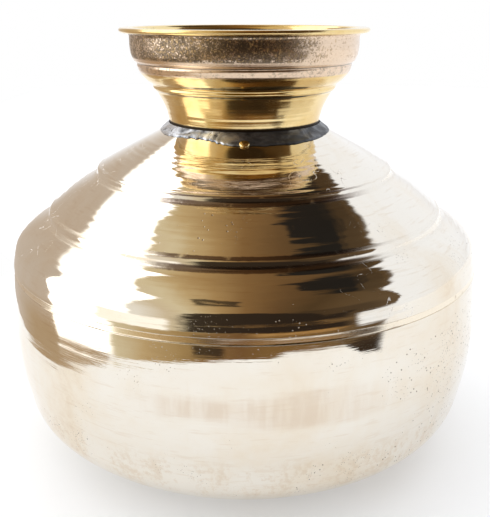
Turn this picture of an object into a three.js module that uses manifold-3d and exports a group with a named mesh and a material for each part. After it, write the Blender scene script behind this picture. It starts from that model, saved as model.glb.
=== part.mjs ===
// A brass kalash, a wide water pot: a raised bowl and a stepped shoulder lapped and brazed
// together at the belly, and a cast neck riveted and soldered into the shoulder's opening.
// Millimetres, +Z up. The origin is the centre of the underside, and the front rivet faces -Y.
import * as THREE from 'three';
import { mergeVertices } from 'three/addons/utils/BufferGeometryUtils.js';
import Module from 'manifold-3d';

const segments = 48; // facets round every turned piece, so that nested pieces line up
const gap = 0.35; // clearance between pieces that touch

const sheet = 1.6; // thickness of the raised bowl and shoulder
const bellyRadius = 165;
const bellyHeight = 98;
const footRadius = 48; // the flat that the pot stands on
const seamHeight = 140.5;
const skirtRadius = 162.3; // the shoulder's outer wall just above the seam
const tongueHeight = 7; // how far the bowl's edge reaches up inside the shoulder's skirt

const openingRadius = 52.1; // the shoulder's hole round the neck
const openingHeight = 227.8;
const neckRadius = openingRadius - gap; // the neck's waist
const boreRadius = 48.6; // the neck's narrowest inside
const flangeRadius = 66.5; // the neck's flange under the shoulder
const flangeThickness = 2;
const collarRadius = 76.1;
const collarWall = 2.8;
const lipRadius = 82.8;
const rimHeight = 292; // the lip's flat top
const lipThickness = 3.2;

const rivetCount = 3;
const rivetPitchRadius = 59.5;
const rivetHeadRadius = 3.4;
const rivetHeadHeight = 1.3;
const rivetShankRadius = 2;
const rivetTailRadius = 3;
const rivetTailHeight = 1.1;

const solderRadius = 58.6; // outer edge of the solder fillet round the neck
const solderTop = 230.7;
const solderEdge = 0.8; // its thickness at that edge

const wasm = await Module();
wasm.setup();

const materials = {
  bodyBrass: metal(0xc9a56c, 0.22),
  neckBrass: metal(0xa8843c, 0.35),
  seamBrass: metal(0xb98f4e, 0.4),
  rivetBrass: metal(0xc79a3c, 0.25),
  solder: metal(0x56585c, 0.6),
};

function metal(color, roughness) {
  return new THREE.MeshStandardMaterial({ color, roughness, metalness: 1 });
}

function at(radius, height) {
  return new THREE.Vector2(radius, height);
}

// A smooth curve through the given points, as a list of steps + 1 points.
function smooth(points, steps) {
  return new THREE.SplineCurve(points.map(([r, z]) => at(r, z))).getPoints(steps);
}

// The same curve moved sideways by a distance, to the left of its direction of travel.
function offset(points, distance) {
  return points.map((point, i) => {
    const before = points[Math.max(i - 1, 0)];
    const after = points[Math.min(i + 1, points.length - 1)];
    const along = after.clone().sub(before).normalize();
    return at(point.x - along.y * distance, point.y + along.x * distance);
  });
}

// A solid turned about +Z. The outline runs up the outside and back down the inside.
function turned(outline) {
  const geometry = new THREE.LatheGeometry(outline, segments);
  geometry.rotateX(Math.PI / 2);
  return geometry;
}

function closed(points) {
  return [...points, points[0].clone()];
}

function asManifold(geometry) {
  const plain = geometry.clone();
  plain.deleteAttribute('normal');
  plain.deleteAttribute('uv');
  const merged = mergeVertices(plain, 1e-3);
  return new wasm.Manifold(new wasm.Mesh({
    numProp: 3,
    vertProperties: new Float32Array(merged.attributes.position.array),
    triVerts: new Uint32Array(merged.index.array),
  }));
}

function asGeometry(solid) {
  const { numProp, vertProperties, triVerts } = solid.getMesh();
  const geometry = new THREE.BufferGeometry();
  const positions = new Float32Array((vertProperties.length / numProp) * 3);
  for (let i = 0; i < positions.length / 3; i++) {
    positions.set(vertProperties.subarray(i * numProp, i * numProp + 3), i * 3);
  }
  geometry.setAttribute('position', new THREE.BufferAttribute(positions, 3));
  geometry.setIndex(Array.from(triVerts));
  geometry.computeVertexNormals();
  return geometry;
}

function cutAll(geometry, cutters) {
  const solid = cutters.reduce((left, cutter) => left.subtract(asManifold(cutter)), asManifold(geometry));
  return asGeometry(solid);
}

// The bowl's outside, from the foot's rim up to the bend below the seam.
function bowlOutside() {
  return smooth([
    [footRadius, 0], [88, 3.2], [124, 14.4], [144, 26.5], [156.8, 40.5], [161, 59],
    [bellyRadius, bellyHeight], [skirtRadius + 0.4, 135.5],
  ], 17);
}

// One shell: flat foot, round bottom, belly, and an edge bent in to reach inside the shoulder.
function baseBowl() {
  const outside = bowlOutside();
  const tongueRadius = skirtRadius - sheet - gap;
  const tongue = [
    at(tongueRadius - 0.1, seamHeight - 0.3),
    at(tongueRadius - 0.5, seamHeight + tongueHeight),
  ];
  const outer = [at(0, 0), ...outside, ...tongue];
  const inner = offset(outer, sheet);
  inner[0].x = 0;
  return turned([...outer, ...inner.reverse()]);
}

// The shoulder's outside from the skirt's lower edge up to the neck's opening. Each band ends
// in a short steep riser, which gives the two steps.
function shoulderOutside() {
  const roundOver = smooth([
    [skirtRadius, seamHeight + 0.8], [skirtRadius, 146], [158.6, 155.2], [150, 163], [139, 168.7],
  ], 9);
  const middleBand = smooth([[132.5, 176.2], [119, 187.6], [104, 196.6]], 4);
  const topBand = smooth([
    [98, 202.9], [86, 211.2], [69.4, 219.4], [openingRadius, openingHeight],
  ], 6);
  return [...roundOver, ...middleBand, ...topBand];
}

function shoulderShell() {
  const outer = shoulderOutside();
  const inner = offset(outer, sheet);
  inner[0].y = outer[0].y;
  inner[inner.length - 1].x = openingRadius;
  const shell = turned(closed([...outer, ...inner.reverse()]));
  return cutAll(shell, rivetPoses().map((pose) => rivetCutter(rivetShankRadius + gap, pose)));
}

// The line that the shoulder's top band follows near the neck.
function shoulderSlope() {
  const band = shoulderOutside();
  const [lower, upper] = band.slice(-2);
  const fall = (upper.y - lower.y) / (lower.x - upper.x);
  return {
    height: (radius) => upper.y - fall * (radius - upper.x),
    angle: Math.atan(fall),
  };
}

// Braze that fills the step between the bowl's bent-in edge and the shoulder's skirt.
function bodySeamBead() {
  const tip = skirtRadius + 0.6;
  return turned(closed([
    at(tip - 0.1, seamHeight - 3.4),
    at(tip + 0.2, seamHeight - 1.6),
    at(tip, seamHeight + 0.2),
    at(skirtRadius - sheet + 0.3, seamHeight + 0.4),
    at(skirtRadius - sheet + 0.3, seamHeight - 0.4),
  ]));
}

// The neck's outside, from the waist up: a flare, a thin ridge, a cove, a lower band, a groove
// and a plain upper band that rounds in above the groove.
function neckOutside() {
  const flare = smooth([
    [neckRadius, 229], [neckRadius, 233], [54.4, 242], [59.3, 251.2],
  ], 6);
  const ridge = [at(60.9, 252.6), at(61.9, 254), at(61.7, 255.4)];
  const cove = smooth([[62.2, 256.4], [66, 259.2], [69.2, 262.6]], 4);
  const lowerBand = [at(70.8, 265.2), at(71.9, 268.6)];
  const groove = [at(71.6, 269.4), at(72.5, 270.6)];
  const roundIn = smooth([[73.6, 271.4], [75.3, 275.2], [collarRadius, 280]], 4);
  return [...flare, ...ridge, ...cove, ...lowerBand, ...groove, ...roundIn];
}

// A thin rounded lip turned outwards at the top of the collar, with a flat top.
function lip() {
  const underside = rimHeight - lipThickness;
  return [
    at(collarRadius, underside - 2),
    at(collarRadius + 1, underside - 0.4),
    at(lipRadius - 1.2, underside),
    at(lipRadius - 0.2, underside + lipThickness * 0.35),
    at(lipRadius, underside + lipThickness * 0.6),
    at(lipRadius - 0.6, rimHeight - 0.4),
    at(lipRadius - 1.8, rimHeight),
    at(collarRadius + 0.4, rimHeight),
    at(collarRadius - 1.6, rimHeight - 0.7),
    at(collarRadius - collarWall, rimHeight - 4),
  ];
}

// The cast neck, with a sloping flange at its foot that lies under the shoulder sheet.
function neckCollar() {
  const slope = shoulderSlope();
  const drop = (sheet + gap) / Math.cos(slope.angle);
  const flangeTop = (radius) => slope.height(radius) - drop;
  const flangeDepth = flangeThickness / Math.cos(slope.angle);
  const flange = [
    at(boreRadius, flangeTop(boreRadius) - flangeDepth),
    at(flangeRadius, flangeTop(flangeRadius) - flangeDepth),
    at(flangeRadius, flangeTop(flangeRadius)),
    at(neckRadius, flangeTop(neckRadius)),
  ];
  const bore = smooth([
    [collarRadius - collarWall, 280], [72, 273.5], [67.6, 265], [61.5, 258.6],
    [56, 250], [51.2, 242], [boreRadius, 234],
  ], 12);
  const outline = closed([...flange, ...neckOutside(), ...lip(), ...bore]);
  return cutAll(turned(outline), rivetPoses().map((pose) => rivetCutter(rivetShankRadius + gap, pose)));
}

// A low fillet of solder in the corner between the neck and the shoulder.
function neckSolderRing() {
  const slope = shoulderSlope();
  const bed = (radius) => slope.height(radius) + gap / Math.cos(slope.angle);
  const inside = neckRadius + gap;
  const face = smooth([
    [solderRadius, bed(solderRadius) + solderEdge * 0.6],
    [solderRadius - 1, bed(solderRadius - 1) + solderEdge],
    [55, 227.6],
    [inside + 0.4, solderTop],
  ], 5);
  const ring = turned(closed([at(inside, bed(inside)), at(solderRadius, bed(solderRadius)), ...face,
    at(inside, solderTop)]));
  return cutAll(ring, rivetPoses().map((pose) => rivetCutter(rivetHeadRadius + gap, pose)));
}

// Where each rivet sits: on the shoulder's slope, with its axis square to the sheet.
function rivetPoses() {
  const slope = shoulderSlope();
  const tilt = new THREE.Matrix4().makeRotationY(slope.angle);
  const seat = new THREE.Matrix4().makeTranslation(rivetPitchRadius, 0, slope.height(rivetPitchRadius));
  return Array.from({ length: rivetCount }, (_, i) => {
    const turn = new THREE.Matrix4().makeRotationZ(-Math.PI / 2 + (i * 2 * Math.PI) / rivetCount);
    return turn.multiply(seat).multiply(tilt);
  });
}

function rivetCutter(radius, pose) {
  const reach = 24;
  const cutter = new THREE.CylinderGeometry(radius, radius, reach, 16);
  cutter.rotateX(Math.PI / 2);
  cutter.applyMatrix4(pose);
  return cutter;
}

// A domed head outside, a shank through both sheets, and a flattened tail inside.
function rivet() {
  const dome = Array.from({ length: 5 }, (_, i) => {
    const turn = (i / 4) * (Math.PI / 2);
    return at(rivetHeadRadius * Math.cos(turn), gap + 0.2 + (rivetHeadHeight - 0.2) * Math.sin(turn));
  });
  dome[4].x = 0;
  const tailTop = -(sheet + flangeThickness + 2 * gap);
  const outline = [
    at(0, tailTop - rivetTailHeight),
    at(rivetTailRadius - 0.5, tailTop - rivetTailHeight),
    at(rivetTailRadius, tailTop - rivetTailHeight * 0.4),
    at(rivetTailRadius, tailTop),
    at(rivetShankRadius, tailTop),
    at(rivetShankRadius, gap),
    at(rivetHeadRadius, gap),
    ...dome,
  ];
  const geometry = new THREE.LatheGeometry(outline, 16);
  geometry.rotateX(Math.PI / 2);
  return geometry;
}

const pot = new THREE.Group();

function add(name, geometry, material, pose) {
  const mesh = new THREE.Mesh(geometry, material);
  mesh.name = name;
  if (pose) mesh.applyMatrix4(pose);
  pot.add(mesh);
}

add('base_bowl', baseBowl(), materials.bodyBrass);
add('shoulder_shell', shoulderShell(), materials.bodyBrass);
add('body_seam_bead', bodySeamBead(), materials.seamBrass);
add('neck_collar', neckCollar(), materials.neckBrass);
add('neck_solder_ring', neckSolderRing(), materials.solder);
const rivetNames = ['neck_rivet_front', 'neck_rivet_right', 'neck_rivet_left'];
rivetPoses().forEach((pose, i) => add(rivetNames[i], rivet(), materials.rivetBrass, pose));

export default pot;
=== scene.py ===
import math
import bpy
import numpy as np
from mathutils import Matrix, Vector


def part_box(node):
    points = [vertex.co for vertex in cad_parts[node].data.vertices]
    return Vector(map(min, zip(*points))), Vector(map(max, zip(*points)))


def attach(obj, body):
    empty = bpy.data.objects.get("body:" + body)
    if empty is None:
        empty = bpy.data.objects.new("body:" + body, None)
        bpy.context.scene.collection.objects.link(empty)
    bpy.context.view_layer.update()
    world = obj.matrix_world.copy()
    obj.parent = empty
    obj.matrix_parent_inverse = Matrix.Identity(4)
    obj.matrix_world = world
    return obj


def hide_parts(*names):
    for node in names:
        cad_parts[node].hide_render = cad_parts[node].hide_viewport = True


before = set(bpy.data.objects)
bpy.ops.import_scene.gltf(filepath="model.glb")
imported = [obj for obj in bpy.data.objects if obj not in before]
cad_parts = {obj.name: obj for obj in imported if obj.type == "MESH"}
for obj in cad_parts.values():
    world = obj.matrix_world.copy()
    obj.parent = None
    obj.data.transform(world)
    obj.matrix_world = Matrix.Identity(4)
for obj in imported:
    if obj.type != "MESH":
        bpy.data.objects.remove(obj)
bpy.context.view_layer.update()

# A wide brass kalash on a pale studio floor. Lengths are metres, and +Z is up the pot's axis.
# Every piece is worked out from the box of the CAD node that it replaces.

bowlLow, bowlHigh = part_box("base_bowl")
shoulderLow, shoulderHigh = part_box("shoulder_shell")
beadLow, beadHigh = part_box("body_seam_bead")
neckLow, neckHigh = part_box("neck_collar")
solderLow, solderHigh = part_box("neck_solder_ring")

bellyRadius = bowlHigh.x


# Points given as shares of a box, (share of its radius, share of its height), put in metres.
def placed(shares, low, high):
    points = np.array(shares, float)
    return np.column_stack([points[:, 0] * high.x, low.z + points[:, 1] * (high.z - low.z)])


# A smooth curve through a few points: on each span the Catmull-Rom cubic, whose slope at a point
# is half the step from the point before to the point after.
def curveThrough(points, steps=40):
    points = np.array(points, float)
    place = np.linspace(0, len(points) - 1, steps * (len(points) - 1) + 1)
    span = np.clip(place.astype(int), 0, len(points) - 2)
    w = (place - span)[:, None]
    before = points[np.maximum(span - 1, 0)]
    here = points[span]
    after = points[span + 1]
    beyond = points[np.minimum(span + 2, len(points) - 1)]
    slopeHere = (after - before) / 2
    slopeAfter = (beyond - here) / 2
    cubic = (2 * here - 2 * after + slopeHere + slopeAfter) * w ** 3
    square = (-3 * here + 3 * after - 2 * slopeHere - slopeAfter) * w ** 2
    return cubic + square + slopeHere * w + here


# The outline with a point every spacing along its length, then averaged over a bell of the given
# width, so that its corners round off as wear rounds them.
def worn(outline, spacing, softness):
    steps = np.hypot(*np.diff(outline, axis=0).T)
    length = np.concatenate([[0], np.cumsum(steps)])
    even = np.linspace(0, length[-1], int(round(length[-1] / spacing)) + 1)
    dense = np.column_stack([np.interp(even, length, outline[:, k]) for k in (0, 1)])
    reach = max(1, int(3 * softness / spacing))
    bell = np.exp(-0.5 * (np.arange(-reach, reach + 1) * spacing / softness) ** 2)
    bell /= bell.sum()
    first = 2 * dense[0] - dense[reach:0:-1]
    last = 2 * dense[-1] - dense[-2:-reach - 2:-1]
    padded = np.vstack([first, dense, last])
    return np.column_stack([np.convolve(padded[:, k], bell, "valid") for k in (0, 1)])


# The unit normal at each point of an outline: its direction of travel turned a quarter turn to
# the right, which is outwards where the outline runs up the outside.
def normalsOf(outline):
    travel = np.gradient(outline, axis=0)
    travel /= np.hypot(*travel.T)[:, None] + 1e-12
    return np.column_stack([travel[:, 1], -travel[:, 0]])


# The length of an outline from its first point to each of its points.
def lengthAlong(outline):
    return np.concatenate([[0], np.cumsum(np.hypot(*np.diff(outline, axis=0).T))])


# Soft random waves: each adds a cosine of (turns x angle + full turns x length / wave + phase), and
# the sum is divided by the square root of their count.
def waves(rng, count, mostTurns, shortest, longest):
    turns = rng.integers(0, mostTurns + 1, count)
    lengths = np.exp(rng.uniform(math.log(shortest), math.log(longest), count))
    phases = rng.uniform(0, 2 * math.pi, count)
    signs = rng.choice([-1, 1], count)

    def height(angle, along):
        total = np.zeros(np.broadcast(angle, along).shape)
        for turn, wave, phase, sign in zip(turns, lengths, phases, signs):
            total += np.cos(turn * angle + sign * 2 * math.pi * along / wave + phase)
        return total / math.sqrt(count)

    return height


# 0 up to start, then a straight rise to 1 over the given distance.
def fadeIn(along, start, over):
    return np.clip((along - start) / over, 0, 1)


# Points given as offsets (outwards, upwards) in metres from one place on an outline.
def offsetsFrom(radius, height, offsets):
    return np.array(offsets) + (radius, height)


# A surface turned about +Z. Row i of the grid is the outline's point i carried round in a circle,
# pushed along the outline's normal by push(angle, length along the outline).
def turnedGrid(outline, around, push=None):
    angle = np.linspace(0, 2 * math.pi, around, endpoint=False)[None, :]
    along = lengthAlong(outline)[:, None]
    radius = outline[:, :1] + np.zeros_like(angle)
    height = outline[:, 1:] + np.zeros_like(angle)
    if push is not None:
        normal = normalsOf(outline)
        moved = push(angle, along)
        radius = radius + moved * normal[:, :1]
        height = height + moved * normal[:, 1:]
    return np.stack([radius * np.cos(angle), radius * np.sin(angle), height], axis=-1)


# Faces of a grid whose rows are rings: quads between neighbouring rings, and between the last and
# the first when the section is closed.
def ringFaces(rows, around, closedSection):
    row = np.arange(rows if closedSection else rows - 1)[:, None]
    column = np.arange(around)[None, :]
    nextRow = (row + 1) % rows
    nextColumn = (column + 1) % around
    corners = [row * around + column, row * around + nextColumn,
               nextRow * around + nextColumn, nextRow * around + column]
    return np.stack([c + 0 * row * column for c in corners], axis=-1).reshape(-1, 4)


# A ring of triangles from a point on the axis to one ring of the grid.
def fanFaces(pole, start, around, outwardsDown):
    ring = start + np.arange(around)
    following = start + (np.arange(around) + 1) % around
    pair = [following, ring] if outwardsDown else [ring, following]
    return np.column_stack([np.full(around, pole), *pair])


# Puts points, quads and triangles into a mesh, with one number a point for each named attribute.
def makePiece(name, points, quads, triangles=None, attributes=None):
    triangles = np.zeros((0, 3), int) if triangles is None else triangles
    mesh = bpy.data.meshes.new(name)
    mesh.vertices.add(len(points))
    mesh.vertices.foreach_set("co", points.astype(np.float32).ravel())
    corners = np.concatenate([quads.ravel(), triangles.ravel()])
    mesh.loops.add(len(corners))
    mesh.loops.foreach_set("vertex_index", corners.astype(np.int32))
    sizes = np.concatenate([np.full(len(quads), 4), np.full(len(triangles), 3)])
    starts = np.concatenate([[0], np.cumsum(sizes)[:-1]])
    mesh.polygons.add(len(sizes))
    mesh.polygons.foreach_set("loop_start", starts.astype(np.int32))
    mesh.update(calc_edges=True)
    mesh.validate()
    mesh.shade_smooth()
    for key, values in (attributes or {}).items():
        layer = mesh.attributes.new(key, "FLOAT", "POINT")
        layer.data.foreach_set("value", np.asarray(values, np.float32).ravel())
    piece = bpy.data.objects.new(name, mesh)
    bpy.context.scene.collection.objects.link(piece)
    return piece


# A closed turned shell: the outer rows run up the outside and the inner rows down the inside.
# The attribute along is the length from the first point, and inside is 1 on the inner rows. With
# poles, its first and last rows close on the axis; without, they join each other.
def turnedShell(name, outer, inner, around, push, poles=False):
    outerGrid = turnedGrid(outer, around, lambda angle, along: push(angle, along, False))
    total = lengthAlong(outer)[-1]
    innerGrid = turnedGrid(inner, around, lambda angle, along: -push(angle, total - along, True))
    grid = np.concatenate([outerGrid, innerGrid])
    rows = len(grid)
    points = grid.reshape(-1, 3)
    along = np.concatenate([lengthAlong(outer), total - lengthAlong(inner)])
    inside = np.concatenate([np.zeros(len(outer)), np.ones(len(inner))])
    attributes = {"along": np.repeat(along, around), "inside": np.repeat(inside, around)}
    quads = ringFaces(rows, around, not poles)
    triangles = None
    if poles:
        bottom = [0, 0, outer[0, 1]]
        top = [0, 0, inner[-1, 1]]
        points = np.vstack([points, bottom, top])
        below = fanFaces(rows * around, 0, around, True)
        above = fanFaces(rows * around + 1, (rows - 1) * around, around, False)
        triangles = np.vstack([below, above])
        attributes = {key: np.append(values, [values[0], values[-1]])
                      for key, values in attributes.items()}
    return makePiece(name, points, quads, triangles, attributes)


# A socket that takes part in Python sums: each operator adds one Math node.
class Field:
    def __init__(self, recipe, socket):
        self.recipe = recipe
        self.socket = socket

    def __add__(self, other):
        return self.recipe.math("ADD", self, other)

    def __radd__(self, other):
        return self.recipe.math("ADD", other, self)

    def __sub__(self, other):
        return self.recipe.math("SUBTRACT", self, other)

    def __rsub__(self, other):
        return self.recipe.math("SUBTRACT", other, self)

    def __mul__(self, other):
        return self.recipe.math("MULTIPLY", self, other)

    def __rmul__(self, other):
        return self.recipe.math("MULTIPLY", other, self)

    def __truediv__(self, other):
        return self.recipe.math("DIVIDE", self, other)

    def __rtruediv__(self, other):
        return self.recipe.math("DIVIDE", other, self)

    def __abs__(self):
        return self.recipe.math("ABSOLUTE", self)

    # The larger of the two.
    def most(self, other):
        return self.recipe.math("MAXIMUM", self, other)

    # 0 below low, 1 above high, and a smooth ramp between; low may be the larger.
    def rise(self, low, high):
        settings = {"interpolation_type": "SMOOTHSTEP"}
        return self.recipe.node("ShaderNodeMapRange", settings, {0: self, 1: low, 2: high})

    # 1 between the two middle numbers, 0 outside the first and the last, and smooth ramps between.
    def within(self, farLow, nearLow, nearHigh, farHigh):
        return self.rise(farLow, nearLow) * self.rise(farHigh, nearHigh)

    # 1 from low to high, with edges that reach soft to either side.
    def between(self, low, high, soft):
        return self.within(low - soft, low + soft, high - soft, high + soft)


# One node tree, for a material or the world. node() makes every node, and the rest call it.
class Recipe:
    def __init__(self, owner):
        owner.use_nodes = True
        self.owner = owner
        self.tree = owner.node_tree
        self.tree.nodes.clear()

    # A node of the given type: settings first, then values or Fields for its input sockets.
    def node(self, kind, settings=None, inputs=None, output=0):
        made = self.tree.nodes.new(kind)
        for key, value in (settings or {}).items():
            if key == "stops":
                self.setStops(made.color_ramp, value)
            else:
                setattr(made, key, value)
        for key, value in (inputs or {}).items():
            if isinstance(value, Field):
                self.tree.links.new(value.socket, made.inputs[key])
            else:
                made.inputs[key].default_value = value
        return Field(self, made.outputs[output]) if len(made.outputs) else made

    def math(self, operation, *values):
        return self.node("ShaderNodeMath", {"operation": operation}, dict(enumerate(values)))

    # Stops are (place from 0 to 1, color), in order.
    def setStops(self, ramp, stops):
        while len(ramp.elements) < len(stops):
            ramp.elements.new(1.0)
        for element, (place, color) in zip(ramp.elements, stops):
            element.position = place
            element.color = (*color, 1)

    # The first color where share is 0 and the second where it is 1.
    def mix(self, share, first, second):
        first = first if isinstance(first, Field) else (*first, 1)
        second = second if isinstance(second, Field) else (*second, 1)
        settings = {"data_type": "RGBA"}
        return self.node("ShaderNodeMix", settings, {0: share, 6: first, 7: second}, 2)

    def attribute(self, name):
        return self.node("ShaderNodeAttribute", {"attribute_name": name}, output="Fac")

    def objectPlace(self):
        return self.node("ShaderNodeTexCoord", output="Object")

    # The x, y and z of a vector.
    def parts(self, vector):
        split = self.node("ShaderNodeSeparateXYZ", None, {0: vector}).socket.node
        return [Field(self, split.outputs[k]) for k in range(3)]

    def vector(self, x, y, z):
        return self.node("ShaderNodeCombineXYZ", None, {0: x, 1: y, 2: z})

    def noise(self, vector, scale, detail=2.0, rough=0.5, warp=0.0):
        inputs = {"Vector": vector, "Scale": scale, "Detail": detail,
                  "Roughness": rough, "Distortion": warp}
        return self.node("ShaderNodeTexNoise", None, inputs)

    # Distance to the nearest of many scattered points.
    def cells(self, vector, scale):
        return self.node("ShaderNodeTexVoronoi", {"feature": "F1"}, {"Vector": vector, "Scale": scale},
                         "Distance")

    # A bump from a height in metres.
    def bump(self, height):
        return self.node("ShaderNodeBump", None, {"Height": height, "Strength": 1.0, "Distance": 1.0},
                         "Normal")


def newRecipe(name):
    return Recipe(bpy.data.materials.new(name))


# Ends a metal's recipe: color, roughness and height are Fields that vary over the surface.
def finishMetal(recipe, color, roughness, height, metallic=1.0):
    inputs = {"Base Color": color, "Roughness": roughness, "Metallic": metallic,
              "Normal": recipe.bump(height)}
    shader = recipe.node("ShaderNodeBsdfPrincipled", None, inputs)
    recipe.node("ShaderNodeOutputMaterial", None, {"Surface": shader})
    return recipe.owner


# Lines left by turning: noise squeezed along the outline and drawn out round the pot. A smaller
# streak draws them out further.
def turningLines(recipe, fineness, streak):
    x, y, z = recipe.parts(recipe.objectPlace())
    along = recipe.attribute("along")
    drawn = recipe.vector(x * streak, y * streak, along * fineness)
    return recipe.noise(drawn, 1.0, 3.0, 0.6)


# Small pits in loose clusters: 1 in a pit and 0 between them. The kind is how dense they are, their
# size, the scale and level of the clusters, and how far the level falls where zone is 1.
def pitMask(recipe, place, kind, zone=0):
    density, size, clusterScale, level, lowered = kind
    level = level - zone * lowered
    near = recipe.cells(place, density)
    cluster = recipe.noise(place, clusterScale, 3.0, 0.6)
    grow = cluster.rise(level, level + 0.12)
    return (near / (grow + 0.001)).rise(size, size * 0.45)


# Wavy marks: the thin contour lines of a warped noise, kept where a second noise is high.
def strayMarks(recipe, place, scale, width, zoneScale, zoneLevel):
    field = recipe.noise(place, scale, 1.5, 0.5, 1.2)
    line = abs(field - 0.5).rise(width, width * 0.35)
    zone = recipe.noise(place, zoneScale, 2.0).rise(zoneLevel, zoneLevel + 0.06)
    return line * zone


bodyFinish = {
    "brass": (0.79, 0.745, 0.665),
    "warmer": (0.75, 0.66, 0.53),
    "stain": (0.60, 0.46, 0.31),
    "rubbed": (0.63, 0.51, 0.39),
    "pit": (0.13, 0.075, 0.04),
    "scuff": (0.97, 0.94, 0.90),
    # painted shade: the colour of the dark lines painted at the shoulder's riser creases
    "corner": (0.105, 0.055, 0.040),
    "inner": (0.30, 0.21, 0.10),
    "shine": 0.038,  # roughness of clean metal, and what is added to it
    "rougher": {"haze": 0.06, "lines": 0.06, "marks": 0.5, "pits": 0.4, "inside": 0.35, "grimeAndPaintedShade": 0.15},
    "fineLines": (620, 14),  # fineness up the outline, and streak round the pot
    "combLines": (420, 45),
    "broadLines": (150, 5),
    "cloud": (14, 5.0, 0.6, 0.4),  # noises: scale, detail, roughness and distortion
    "speck": (260, 3.0, 0.7),
    "paintedLineBreakup": (60, 4.0, 0.7),
    "runs": (60, 9, 0.65),  # drawn out up the pot: scale sideways, scale upwards and roughness
    "rubs": (7, 55, 0.6),  # drawn out sideways
    "pits": (300, 0.17, 11, 0.585, 0.11),
    "smallPits": (620, 0.20, 26, 0.56, 0.08),
    "marks": (40, 0.0055, 16),
    "markLevel": (0.575, 0.12),  # and how far it falls in the scratched patch
    "pittedFoot": (0.034, 0.040, 0.058, 0.068),  # zones in metres: out, in, in, out
    "pittedBelt": (0.086, 0.094, 0.122, 0.132),
    "scratchedAcross": (-0.055, -0.040, 0.004, 0.018),
    "scratchedUp": (0.144, 0.148, 0.161, 0.167),
    "rubbedLeft": (-0.075, -0.02),  # a zone's end alone: out, in
    "rubbedRight": (0.10, 0.03),
    "rubbedUp": (0.086, 0.094, 0.102, 0.110),
    "stainedFoot": (0.030, 0.042, 0.056, 0.070),
    # where the painted shade lines are kept, across the front: out, in
    "paintedShadeLeft": (-0.062, -0.036),
    "paintedShadeRight": (0.080, 0.050),
    "cornerWaver": 0.0010,
    "relief": {"fine": 0.000022, "comb": 0.000022, "broad": 0.000050, "speck": 0.000003,
               "pits": 0.00010, "smallPits": 0.00005, "marks": 0.00002},
}


# The metal of the bowl and the shoulder. corners lists the lines of painted shade at the front: dark lines
# at the shoulder's riser creases that stand for the dark room's reflection, as (length along the outline,
# half width).
def bodyBrass(name, corners):
    look = bodyFinish
    recipe = newRecipe(name)
    place = recipe.objectPlace()
    x, y, z = recipe.parts(place)
    inside = recipe.attribute("inside")
    along = recipe.attribute("along")
    fine = turningLines(recipe, *look["fineLines"])
    comb = turningLines(recipe, *look["combLines"])
    broad = turningLines(recipe, *look["broadLines"])
    cloud = recipe.noise(place, *look["cloud"])
    speck = recipe.noise(place, *look["speck"])

    def drawnOut(sideways, upwards, rough):
        return recipe.noise(recipe.vector(x * sideways, y * sideways, z * upwards), 1.0, 4.0, rough)

    runs = drawnOut(*look["runs"])
    rubs = drawnOut(*look["rubs"])

    pitted = z.within(*look["pittedFoot"]) + x.rise(0.07, 0.12) * z.rise(0.18, 0.16)
    pitted = pitted + z.within(*look["pittedBelt"]) * x.rise(0.02, 0.05) * y.rise(0, -0.06)
    pits = pitMask(recipe, place, look["pits"], pitted)
    smallPits = pitMask(recipe, place, look["smallPits"], pitted)

    markLevel, markFall = look["markLevel"]
    scratched = x.within(*look["scratchedAcross"]) * z.within(*look["scratchedUp"]) * y.rise(0, -0.1)
    marks = strayMarks(recipe, place, *look["marks"], markLevel - scratched * markFall)
    marks = marks * speck.rise(0.40, 0.60) * z.rise(0.136, 0.143)

    rubbedUp = (z + (rubs - 0.5) * 0.030).within(*look["rubbedUp"])
    rubbedAcross = (x + (cloud - 0.5) * 0.1).rise(*look["rubbedLeft"]) * x.rise(*look["rubbedRight"])
    rubbed = rubbedUp * rubbedAcross * y.rise(0, -0.1) * (0.30 + 0.35 * runs.rise(0.42, 0.60))
    footStain = z.within(*look["stainedFoot"]) * (speck * 0.6 + runs * 0.5).rise(0.52, 0.66)

    # Painted shade: dark lines at the foot and brow of each riser, broken up by noise and kept at the front,
    # stand for the dark room's reflection there.
    wavering = along + (speck - 0.5) * look["cornerWaver"]
    grimeAndPaintedShade = sum(abs(wavering - cornerAt).rise(width, width * 0.6) for cornerAt, width in corners)
    paintedLineBreakup = recipe.noise(place, *look["paintedLineBreakup"]).rise(0.30, 0.46)
    inFront = (x + (speck - 0.5) * 0.02).rise(*look["paintedShadeLeft"]) * x.rise(*look["paintedShadeRight"])
    inFront = inFront * y.rise(0, -0.05)
    dull = (runs * 0.5 + rubs * 0.5).rise(0.50, 0.68)

    color = recipe.mix(cloud.rise(0.40, 0.74), look["brass"], look["warmer"])
    color = recipe.mix(comb.rise(0.55, 0.70) * 0.20, color, look["stain"])
    color = recipe.mix(dull * 0.42, color, look["warmer"])
    color = recipe.mix(rubbed, color, look["rubbed"])
    color = recipe.mix(cloud.rise(0.58, 0.80) * 0.4 * speck.rise(0.35, 0.6), color, look["stain"])
    color = recipe.mix(footStain * 0.35, color, look["stain"])
    color = recipe.mix(marks * 0.85, color, look["scuff"])
    # painted shade at the riser creases
    color = recipe.mix(grimeAndPaintedShade * paintedLineBreakup * inFront * (1 - inside) * 0.85, color, look["corner"])
    color = recipe.mix(pits, color, look["pit"])
    color = recipe.mix(smallPits * 0.8, color, look["pit"])
    color = recipe.mix(inside * 0.92, color, look["inner"])

    rougher = look["rougher"]
    roughness = look["shine"] + cloud.rise(0.4, 0.8) * rougher["haze"] + abs(broad - 0.5) * rougher["lines"]
    roughness = roughness + marks * rougher["marks"] + pits * rougher["pits"]
    roughness = roughness + inside * rougher["inside"] + grimeAndPaintedShade * rougher["grimeAndPaintedShade"]

    relief = look["relief"]
    height = (fine - 0.5) * relief["fine"] + (comb - 0.5) * relief["comb"]
    height = height + (broad - 0.5) * relief["broad"] + (speck - 0.5) * relief["speck"]
    height = height - pits * relief["pits"] - smallPits * relief["smallPits"] - marks * relief["marks"]
    return finishMetal(recipe, color, roughness, height)


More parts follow.
